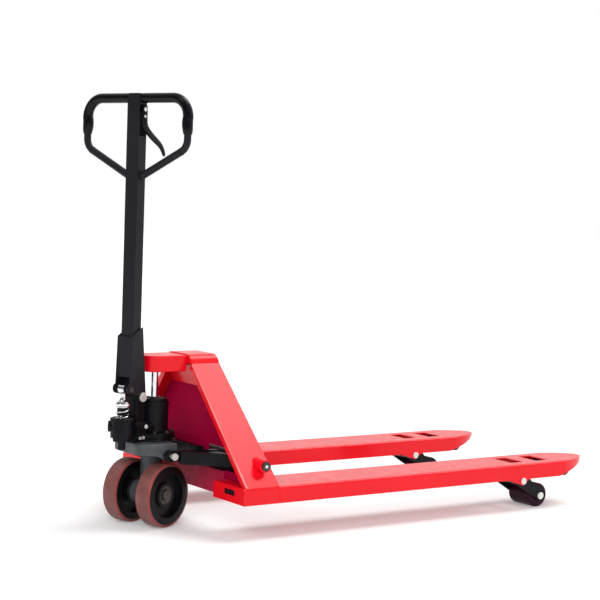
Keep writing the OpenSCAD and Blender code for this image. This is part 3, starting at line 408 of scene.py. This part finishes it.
def drawbar():
    """Box tube with round corners, the lever's recess in its near side, and a cap on its end."""
    corner = 0.0028
    recess_low, recess_high, recess_depth = 1.086, 1.174, 0.011
    recess_lip, recess_draft = 0.0015, 0.0004
    bm = bmesh.new()
    block(bm, (BAR_X - BAR_HALF_X, -BAR_HALF_Y, BAR_FOOT),
          (BAR_X + BAR_HALF_X, BAR_HALF_Y, LOOP_TOP))
    upright = [e for e in bm.edges if abs(e.verts[0].co.z - e.verts[1].co.z) > 0.1]
    round_edges(bm, upright, corner, segments=4)
    for height in (recess_low, recess_high):
        bmesh.ops.bisect_plane(bm, geom=bm.verts[:] + bm.edges[:] + bm.faces[:],
                               plane_co=(0, 0, height), plane_no=(0, 0, 1))
    near = [f for f in bm.faces
            if f.normal.y < -0.99 and recess_low < f.calc_center_median().z < recess_high]
    bmesh.ops.inset_region(bm, faces=near, thickness=recess_lip, depth=0)
    bmesh.ops.inset_region(bm, faces=near, thickness=recess_draft, depth=-recess_depth)
    bmesh.ops.transform(bm, matrix=STEERED, verts=bm.verts)
    show(bm, "drawbar_finished", "handle", "black_paint", ("drawbar",))
    cap_half_x, cap_inset, cap_low, cap_high = 0.0165, 0.0002, 1.1850, 1.2042
    rounded_block("drawbar_cap", "handle", "black_paint",
                  (BAR_X - cap_half_x, -BAR_HALF_Y + cap_inset, cap_low),
                  (BAR_X + cap_half_x, BAR_HALF_Y - cap_inset, cap_high),
                  edge=0.0035, segments=4, place=STEERED)


def hand_lever():
    """Moulded finger lever beside the drawbar, hooked at its tip, on a headed pin and a screw."""
    across, near = -0.02775, (0, -1, 0)
    face = across - 0.0048
    pin_near, pin_far, pin_radius = -0.0225, 0.0235, 0.0049
    # From the pin's centre: along, height, half width and half thickness
    ways = eased([(-0.001, 0.010, 0.0090, 0.0048), (0.000, 0.000, 0.0105, 0.0058),
                  (0.000, -0.028, 0.0100, 0.0060), (0.006, -0.050, 0.0100, 0.0060),
                  (0.028, -0.069, 0.0096, 0.0060), (0.052, -0.084, 0.0088, 0.0058),
                  (0.070, -0.096, 0.0076, 0.0054), (0.081, -0.109, 0.0064, 0.0048),
                  (0.086, -0.119, 0.0052, 0.0040), (0.088, -0.124, 0.0030, 0.0026)], steps=5)
    bm = bmesh.new()
    sweep(bm, [(BAR_X + x, across, LEVER_Z + z) for x, z, _, _ in ways],
          [(thick, wide) for _, _, wide, thick in ways], (0, 1, 0), STEERED)
    drum(bm, (BAR_X, pin_near, LEVER_Z), (BAR_X, pin_far, LEVER_Z), pin_radius, place=STEERED)
    show(bm, "hand_lever_finished", "hand_lever", "grip", ("hand_lever",))
    bolt("lever_pin_head", "hand_lever", (BAR_X - 0.0035, face, LEVER_Z), near,
         radius=0.0048, height=0.0034)
    bolt("lever_screw", "hand_lever", (BAR_X - 0.0045, face, LEVER_Z - 0.019), near,
         radius=0.0030, height=0.0028)


def base_web():
    """Plate across the handle base that closes it behind the pressure roller."""
    rounded_block("base_web", "handle", "black_paint",
                  (-0.1040, -0.0226, 0.400), (-0.1000, 0.0226, 0.4405), edge=0.0008,
                  place=STEERED)


# Pump

SPRING_LOW, SPRING_HIGH = 0.262, 0.345


def plunger():
    """Pump plunger with a stepped spring cap, and a dark skirt inside the spring."""
    turned("plunger_finished", "plunger", "chrome",
           [(0, 0.2805), (0.0060, 0.2805), (0.0066, 0.2812), (0.0066, SPRING_HIGH),
            (0.0222, SPRING_HIGH), (0.0228, 0.3458), (0.0228, 0.3500), (0.0220, 0.3512),
            (0.0186, 0.3520), (0.0180, 0.3562), (0.0168, 0.3574), (0.0120, 0.3580),
            (0.0092, 0.3612), (0.0080, 0.3660), (0.0080, 0.3780), (0.0068, 0.3793), (0, 0.3793)],
           AT_PLUNGER, ("plunger",))
    turned("plunger_skirt", "plunger", "black_paint",
           [(0.0128, 0.3180), (0.0146, 0.3180), (0.0150, 0.3186), (0.0150, 0.3452),
            (0.0128, 0.3452)], AT_PLUNGER, finish=CAST_BLACK)


def plunger_spring():
    """Wound wire spring round the plunger, its end turns lying close."""
    radius, wire, turns, steps = 0.01775, 0.00225, 6, 28
    # Turns at each end that lie close, and the share of the rise that all turns take evenly
    dead, creep = 0.6, 0.06
    low, high = SPRING_LOW + wire, SPRING_HIGH - wire
    count = turns * steps
    path = []
    for i in range(count + 1):
        turn = 2 * math.pi * i / steps
        wound = min(1, max(0, (i - steps * dead) / (count - 2 * dead * steps)))
        path.append((radius * math.cos(turn), radius * math.sin(turn),
                     low + (high - low) * (creep * i / count + (1 - creep) * wound)))
    bm = bmesh.new()
    sweep(bm, path, [(wire, wire)] * len(path), (0, 0, 1), AT_PLUNGER, sides=12)
    piece = show(bm, "plunger_spring_finished", "pump", "chrome", ("plunger_spring",))
    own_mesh(piece)


def cup_details():
    """Rolled rim, ribs and plug boss on the plunger's cup."""
    bm = bmesh.new()
    lathe(bm, [(0.0285, 0.3118), (0.0320, 0.3118), (0.0338, 0.3100), (0.0338, 0.3050),
               (0.0318, 0.3030), (0.0285, 0.3030)], AT_PLUNGER)
    round_edges(bm, sharp_edges(bm, 30), 0.0004)
    show(bm, "cup_rim", "pump", "black_paint", finish=CAST_BLACK)
    bm = bmesh.new()
    for turn in (214, 334, 94):
        way = AT_PLUNGER @ Matrix.Rotation(math.radians(turn), 4, "Z")
        block(bm, (0.030, -0.003, 0.260), (0.0345, 0.003, 0.304), way)
    round_edges(bm, sharp_edges(bm, 40), 0.0010)
    show(bm, "cup_ribs", "pump", "black_paint", finish=CAST_BLACK)
    bm = bmesh.new()
    facing = Vector((-0.561, 0.827, 0))
    plug_z, plug_seat, plug_length, plug_radius = 0.287, 0.028, 0.010, 0.0155
    start = Vector((PLUNGER_X, 0, plug_z)) + facing * plug_seat
    drum(bm, start, start + facing * plug_length, plug_radius, sides=40, place=STEERED)
    round_edges(bm, sharp_edges(bm, 40), 0.0012)
    show(bm, "cup_plug", "pump", "black_paint", finish=CAST_BLACK)


def pump_fittings():
    """Oil plug and screws on the pump block, valve end, flange screws and the cylinder's rings."""
    near, up = (0, -1, 0), (0, 0, 1)
    plug = (-0.032, -0.0215, 0.2740)
    flange_radius, flange_top = 0.053, 0.2614
    facing = Matrix.Rotation(math.radians(90), 4, "X")
    turned("oil_plug_ring", "pump", "black_paint",
           [(0.0055, 0), (0.0150, 0), (0.0150, 0.0060), (0.0140, 0.0075), (0.0112, 0.0075),
            (0.0106, 0.0045), (0.0055, 0.0045)],
           STEERED @ Matrix.Translation(plug) @ facing, finish=CAST_BLACK)
    bolt("oil_plug", "pump", plug, near, radius=0.0075, height=0.0090, finish=DARK_STEEL)
    bolt("valve_end", "pump", (-0.088, -0.0480, 0.2875), near, radius=0.0050, height=0.0040)
    for number, x in enumerate((-0.082, -0.068), 1):
        bolt("block_screw_%d" % number, "pump", (x, -0.0218, 0.2515), near,
             radius=0.0042, height=0.0050)
    for number, degrees in enumerate((45, 135, 225, 268, 315), 1):
        turn = Matrix.Rotation(math.radians(degrees), 4, "Z")
        bolt("flange_screw_%d" % number, "pump", turn @ Vector((flange_radius, 0, flange_top)), up,
             radius=0.0050, height=0.0060, finish=STEEL)
    turned("ram_wiper", "pump", "zinc",
           [(0.0128, 0.3565), (0.0190, 0.3565), (0.0190, 0.3588), (0.0178, 0.3600),
            (0.0140, 0.3600), (0.0128, 0.3590)], STEERED, finish=STEEL)
    turned("cylinder_band", "pump", "black_paint",
           [(0.0300, 0.3480), (0.0436, 0.3480), (0.0436, 0.3430), (0.0445, 0.3420),
            (0.0445, 0.3380), (0.0430, 0.3370), (0.0425, 0.3370), (0.0425, 0.3470),
            (0.0300, 0.3470)], STEERED, finish=CAST_BLACK)


def roller_collars():
    """Black collars at both ends of the pressure roller, so that its bright track stays narrow."""
    roller_x, roller_z, track_half = -0.1325, 0.392, 0.0096
    for side, name in SIDES:
        where = STEERED @ Matrix.Translation((roller_x, side * track_half, roller_z))
        turned("roller_collar_" + name, "press_roller", "black_paint",
               [(0.0090, 0), (0.0117, 0), (0.0121, 0.0005), (0.0121, 0.0046), (0.0115, 0.0052),
                (0.0090, 0.0052)],
               where @ Matrix.Rotation(math.radians(-90 * side), 4, "X"), finish=CAST_BLACK)


def wheel_dress(side, name):
    """Black rim that laps the tread, and the tread's bright edge line, on both faces of a wheel."""
    middle, half_width = side * 0.0595, 0.024
    body = "wheel_" + name
    for face in (-1, 1):
        end = "%s_%s" % (name, "in" if face * side < 0 else "out")
        turn = Matrix.Rotation(math.radians(-90 * face), 4, "X")
        where = STEERED @ Matrix.Translation((AXLE_X, middle + face * half_width, AXLE_Z)) @ turn
        turned("wheel_rim_" + end, body, "black_paint",
               [(0.0690, -0.004), (0.0690, 0.0002), (0.0822, 0.0002), (0.0836, -0.0008),
                (0.0836, -0.004)], where, finish=CAST_BLACK, crease=40, steps=96)
        turned("wheel_edge_" + end, body, "tread",
               [(0.0838, -0.003), (0.0838, -0.0004), (0.0872, -0.0004), (0.0888, -0.0014),
                (0.0894, -0.003)], where, finish=TREAD_EDGE, crease=40, steps=96)


# Heel and linkage

SHEET_EDGE = 0.0008
# Lower edge of the bulkhead
BULKHEAD_FOOT = 0.2420
# Height at which the bulkhead turns into its fold under the cap
BULKHEAD_FOLD = 0.3925


def top_cap():
    """Pressed cap over the heel, whose shoulders run on from the sloping side plates."""
    front, back, back_lean = HEEL_X - 0.016, HEEL_X + 0.077, 0.1216
    near_to = 0.001
    shoulder = [(0.0720, 0), (0.0700, 0.0070), (0.0665, 0.0135), (0.0610, 0.0190),
                (0.0540, 0.0230), (0.0460, 0.0250)]
    outline = [(front, y, CAP_SEAT + z) for y, z in shoulder]
    outline += [(front, -y, CAP_SEAT + z) for y, z in reversed(shoulder)]
    bm = bmesh.new()
    slab(bm, outline, (back - front, 0, 0))
    for vert in bm.verts:
        if vert.co.x > back - near_to:
            vert.co.x -= (vert.co.z - CAP_SEAT) * back_lean
    ends = [e for e in sharp_edges(bm, 60) if any(v.co.z > CAP_SEAT + near_to for v in e.verts)]
    round_edges(bm, ends, 0.0025, segments=3)
    show(bm, "top_cap_finished", "frame", "red_paint", ("top_cap",), crease=30)


def bulkhead():
    """Bent sheet: its upright part is painted dark red as painted shade, its fold under the cap has
    the full gloss.
    """
    bm = solid_of("bulkhead")
    round_edges(bm, sharp_edges(bm, 40), 0.0010)
    # Faces below the fold take the dark red of the painted shade
    for face in bm.faces:
        face.material_index = int(face.calc_center_median().z > BULKHEAD_FOLD)
    piece = show(bm, "bulkhead_finished", "frame", "red_paint", ("bulkhead",), RED_PAINTED_SHADE)
    piece.data.materials.append(RED)


def heel_skirts():
    """Plates that carry the bulkhead on to the forks, beside the rocker and between its arms,
    painted dark red as painted shade.
    """
    front, back = HEEL_X + 0.0346, HEEL_X + 0.0394
    thickness = (back - front, 0, 0)
    middle_half, lip_half = 0.0925, 0.1820
    # The skirts take the dark painted shade, the lip the lighter painted shade
    rounded_block("heel_skirt_middle", "frame", "red_paint", (front, -middle_half, 0.1655),
                  (back, middle_half, BULKHEAD_FOOT), SHEET_EDGE, finish=RED_PAINTED_SHADE)
    rounded_block("cross_lip", "frame", "red_paint", (front, -lip_half, 0.0980),
                  (back, lip_half, 0.1075), SHEET_EDGE, finish=RED_PAINTED_SOFT_SHADE)
    # Distance from the middle, and height
    skirt = ((0.1832, 0.1448), (0.3338, 0.1448), (0.2500, BULKHEAD_FOOT), (0.2440, BULKHEAD_FOOT),
             (0.2440, 0.1690), (0.1832, 0.1690))
    lip = ((0.0926, 0.2320), (0.1780, 0.2320), (0.1780, 0.2352), (0.2440, 0.2352),
           (0.2440, BULKHEAD_FOOT), (0.0926, BULKHEAD_FOOT))
    for side, name in SIDES:
        for kind, outline in (("heel_skirt_", skirt), ("bulkhead_lip_", lip)):
            cut_plate(kind + name, "frame", "red_paint",
                      [(front, side * y, z) for y, z in outline], thickness, SHEET_EDGE,
                      finish=RED_PAINTED_SHADE)


def rocker_braces():
    """Splayed braces from the rocker's arms to the ends of its tube, webs, a crossbar and a rib."""
    front_x = HEEL_X - 0.070
    brace_low, brace_height = 0.1825, 0.036
    web_low, web_height = 0.2060, 0.006
    # Along the truck, and distance from the middle
    brace = ((front_x, 0.110), (front_x + 0.022, 0.1125), (PIVOT_X, 0.232), (PIVOT_X, 0.250),
             (front_x, 0.120))
    web = ((front_x + 0.020, 0.1120), (PIVOT_X, 0.1120), (PIVOT_X, 0.236),
           (front_x + 0.024, 0.1135))
    for side, name in SIDES:
        cut_plate("rocker_brace_" + name, "rocker", "black_paint",
                  [(x, side * y, brace_low) for x, y in brace], (0, 0, brace_height),
                  edge=0.0020, segments=3, finish=CAST_BLACK)
        cut_plate("rocker_web_" + name, "rocker", "black_paint",
                  [(x, side * y, web_low) for x, y in web], (0, 0, web_height),
                  edge=0.0012, finish=CAST_BLACK)
    rounded_block("rocker_crossbar", "rocker", "black_paint", (HEEL_X - 0.0060, -0.0990, 0.1840),
                  (HEEL_X + 0.0180, 0.0990, 0.2260), edge=0.0030, segments=3,
                  finish=CAST_BLACK)
    rounded_block("rocker_tube_rib", "rocker", "black_paint", (PIVOT_X - 0.0030, -0.2050, 0.1520),
                  (PIVOT_X + 0.0030, 0.2050, 0.1800), edge=0.0015, finish=CAST_BLACK)


def window_backs():
    """Black sheet inside each heel, behind the window in its front plate, put there as painted
    shade.
    """
    across, half = 0.2625, 0.0330
    for side, name in SIDES:
        middle = side * across
        # A black sheet standing in for the shade inside the heel
        rounded_block("window_back_" + name, "frame", "black_paint",
                      (HEEL_X + 0.0080, middle - half, 0.1150),
                      (HEEL_X + 0.0100, middle + half, 0.1360), edge=0.0006)


def welds():
    """Weld beads along the feet of the heel's side plates, with the ripples of the weld pool."""
    start, length, across, height = HEEL_X + 0.0095, 0.1045, 0.3378, 0.1438
    bead, ripple, pitch, count = 0.0038, 0.0004, 1.9, 90
    for side, name in SIDES:
        path = [(start + length * i / count, side * across, height) for i in range(count + 1)]
        sizes = [bead + ripple * math.sin(i * pitch) for i in range(count + 1)]
        bm = bmesh.new()
        sweep(bm, path, [(size, size) for size in sizes], (0, 1, 0), sides=14)
        show(bm, "heel_weld_" + name, "frame", "red_paint", crease=70)


def pin_centres():
    """Bright centres on the dark rocker pivot pins."""
    start, end, radius = 0.3338, 0.3350, 0.0045
    for side, name in SIDES:
        bm = bmesh.new()
        drum(bm, (PIVOT_X, side * start, PIVOT_Z), (PIVOT_X, side * end, PIVOT_Z), radius)
        round_edges(bm, sharp_edges(bm, 40), 0.0004)
        show(bm, "pivot_centre_" + name, "frame", "zinc")


def entry_roller(name):
    """Small roller in the fork's tip, crowned and round at its ends."""
    low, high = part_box(name)
    centre = (Vector(low) + Vector(high)) / 2
    half, bore, girth = 0.066, 0.0062, 0.0205
    turned(name + "_finished", body_of[name], slot_of[name],
           [(bore, -half), (girth - 0.004, -half), (girth - 0.001, -half + 0.0015),
            (girth, -half + 0.005), (girth, half - 0.005), (girth - 0.001, half - 0.0015),
            (girth - 0.004, half), (bore, half)],
           Matrix.Translation(centre) @ Matrix.Rotation(math.radians(-90), 4, "X"), (name,))


def front_bend(edge):
    """True for the long edge between a side plate's front and its outer face."""
    normals = [face.normal for face in edge.link_faces]
    faces_front = any(n.x < -0.9 for n in normals)
    faces_up = any(n.z > 0.3 for n in normals)
    return edge.calc_length() > 0.1 and faces_front and faces_up


def heel_side(name):
    """Sloping side plate whose front edge is turned round, with a painted highlight in pale paint
    along the bend.
    """
    bm = solid_of(name)
    edges = away_from(sharp_edges(bm, 40), CAP_SEAT)
    round_edges(bm, [e for e in edges if not front_bend(e)], 0.0012)
    bend = [e for e in sharp_edges(bm, 40) if front_bend(e)]
    # The rounded bend takes the pale paint, a painted highlight
    for face in round_edges(bm, bend, 0.0040, segments=3):
        face.material_index = 1
    piece = show(bm, name + "_finished", "frame", "red_paint", (name,))
    piece.data.materials.append(RED_PAINTED_HIGHLIGHT)


for side, name in SIDES:
    grip(side, name)
    wheel_dress(side, name)
drawbar()
hand_lever()
base_web()
plunger()
plunger_spring()
cup_details()
pump_fittings()
roller_collars()
top_cap()
bulkhead()
heel_skirts()
rocker_braces()
window_backs()
welds()
pin_centres()
ENTRY_ROLLERS = ("entry_roller_left", "entry_roller_right")
for name in ENTRY_ROLLERS:
    entry_roller(name)
HEEL_SIDES = ("heel_side_left", "heel_side_right")
for name in HEEL_SIDES:
    heel_side(name)


# The other nodes keep their own shape, with rounded edges

DRAWN = ("grip_left", "grip_right", "drawbar", "hand_lever", "plunger", "plunger_spring",
         "top_cap", "bulkhead") + ENTRY_ROLLERS + HEEL_SIDES
# Widths of the rounding
SLOT_WIDTHS = {"red_paint": 0.0012, "black_paint": 0.0010, "grey_casting": 0.0040, "zinc": 0.0006,
               "chrome": 0.0005, "tread": 0.0015, "roller": 0.0008, "grip": 0.0008}
NODE_WIDTHS = {"lift_nose": 0.0030, "pump_body": 0.0018, "lift_cylinder": 0.0020,
               "handle_base": 0.0015}
# The underside of the pump's spring cup
NODE_CRISP = {"pump_body": 0.257}
# Finishes other than the one of the node's slot
NODE_FINISHES = {node: finish for finish, nodes in (
    (RED, ("entry_axles",)),
    # The cross plate takes the lighter painted shade
    (RED_PAINTED_SOFT_SHADE, ("cross_plate",)),
    (CAST_GREY, ("axle_yoke",)),
    (CAST_BLACK, ("pump_body", "lift_cylinder", "cylinder_gland", "release_valve", "release_lever",
                  "rocker_arm", "load_bracket_left", "load_bracket_right", "wheel_hub_left",
                  "wheel_hub_right")),
    (STEEL, ("wheel_axle", "axle_nuts", "press_pin", "wheel_bearings_left",
             "wheel_bearings_right")),
    (DARK_STEEL, ("rocker_pins", "thrust_bearing"))) for node in nodes}
for node in sorted(frame["nodes"]):
    if node not in DRAWN:
        softened(node, NODE_WIDTHS.get(node, SLOT_WIDTHS[slot_of[node]]), NODE_FINISHES.get(node),
                 NODE_CRISP.get(node))


# Floor, light and camera

def blend(tree, factor, low, high):
    """A value between two others, each a number or a socket."""
    node = tree.nodes.new("ShaderNodeMix")
    tree.links.new(factor, node.inputs[0])
    for socket, value in ((node.inputs[2], low), (node.inputs[3], high)):
        if isinstance(value, float):
            socket.default_value = value
        else:
            tree.links.new(value, socket)
    return node.outputs[0]


def mirrored_rays(tree, rays):
    """1 for rays that show a surface in a reflection or through glass."""
    larger = tree.nodes.new("ShaderNodeMath")
    larger.operation = "MAXIMUM"
    tree.links.new(rays.outputs["Is Glossy Ray"], larger.inputs[0])
    tree.links.new(rays.outputs["Is Transmission Ray"], larger.inputs[1])
    return larger.outputs[0]


def backdrop():
    """Pale floor that shows as white and keeps the object's soft shadow."""
    half_size, glow = 30, 0.15
    bm = bmesh.new()
    bmesh.ops.create_grid(bm, x_segments=1, y_segments=1, size=half_size)
    mesh = bpy.data.meshes.new("floor")
    bm.to_mesh(mesh)
    bm.free()
    floor = bpy.data.objects.new("floor", mesh)
    scene.collection.objects.link(floor)
    material, tree, shader = new_finish("pale_floor")
    shader.inputs["Base Color"].default_value = (0.92, 0.92, 0.92, 1)
    shader.inputs["Roughness"].default_value = 0.95
    shader.inputs["Specular IOR Level"].default_value = 0.0
    shader.inputs["Emission Color"].default_value = (1, 1, 1, 1)
    rays = tree.nodes.new("ShaderNodeLightPath")
    unseen = blend(tree, mirrored_rays(tree, rays), 0.0, glow)
    tree.links.new(blend(tree, rays.outputs["Is Camera Ray"], unseen, glow),
                   shader.inputs["Emission Strength"])
    mesh.materials.append(material)


def sun(name, toward, strength, spread):
    """A broad, even light. spread is its width in degrees."""
    data = bpy.data.lights.new(name, "SUN")
    data.energy = strength
    data.angle = math.radians(spread)
    lamp = bpy.data.objects.new(name, data)
    lamp.rotation_euler = Vector(toward).to_track_quat("-Z", "Y").to_euler()
    scene.collection.objects.link(lamp)
    return lamp


def studio():
    """White backdrop and lamps.

    Reflections see the backdrop bright behind and above the forks and dim beyond the handle.
    """
    brightest_way, fill = (0.78, 0.22, 0.58), 0.46
    world = bpy.data.worlds.new("studio")
    scene.world = world
    world.use_nodes = True
    tree = world.node_tree
    background = tree.nodes["Background"]
    background.inputs["Color"].default_value = (1, 1, 1, 1)
    rays = tree.nodes.new("ShaderNodeLightPath")
    way = tree.nodes.new("ShaderNodeVectorMath")
    way.operation = "DOT_PRODUCT"
    way.inputs[1].default_value = brightest_way
    tree.links.new(tree.nodes.new("ShaderNodeTexCoord").outputs["Generated"], way.inputs[0])
    room = tree.nodes.new("ShaderNodeMapRange")
    limits = (("From Min", -0.30), ("From Max", 0.60), ("To Min", 0.10), ("To Max", 1.0))
    for socket, value in limits:
        room.inputs[socket].default_value = value
    tree.links.new(way.outputs["Value"], room.inputs["Value"])
    unseen = blend(tree, mirrored_rays(tree, rays), fill, room.outputs[0])
    tree.links.new(blend(tree, rays.outputs["Is Camera Ray"], unseen, 1.0),
                   background.inputs["Strength"])
    sun("overhead", toward=(-0.457, 0.05, -0.887), strength=1.55, spread=32)
    sun("edge_light", toward=(0.70, 0.10, -0.70), strength=0.25, spread=8)
    near_side = sun("near_side", toward=(0.60, 0.75, -0.45), strength=1.55, spread=40)
    near_side.visible_glossy = False


def camera():
    """A camera at the photograph's viewing angle, fitted to the object's corners in it."""
    data = bpy.data.cameras.new("camera")
    data.sensor_width = 36
    data.lens = 96
    data.clip_end = 80
    eye = bpy.data.objects.new("camera", data)
    right = Vector((0.82112, -0.56974, 0.03413))
    up = Vector((0.00843, 0.07190, 0.99737))
    back = Vector((-0.57069, -0.81868, 0.06384))
    turn = Matrix((right, up, back)).transposed().to_4x4()
    eye.matrix_world = Matrix.Translation((HEEL_X - 2.3330, -3.9193, 0.9342)) @ turn
    scene.collection.objects.link(eye)
    scene.camera = eye


backdrop()
studio()
camera()
scene.view_settings.view_transform = "Standard"
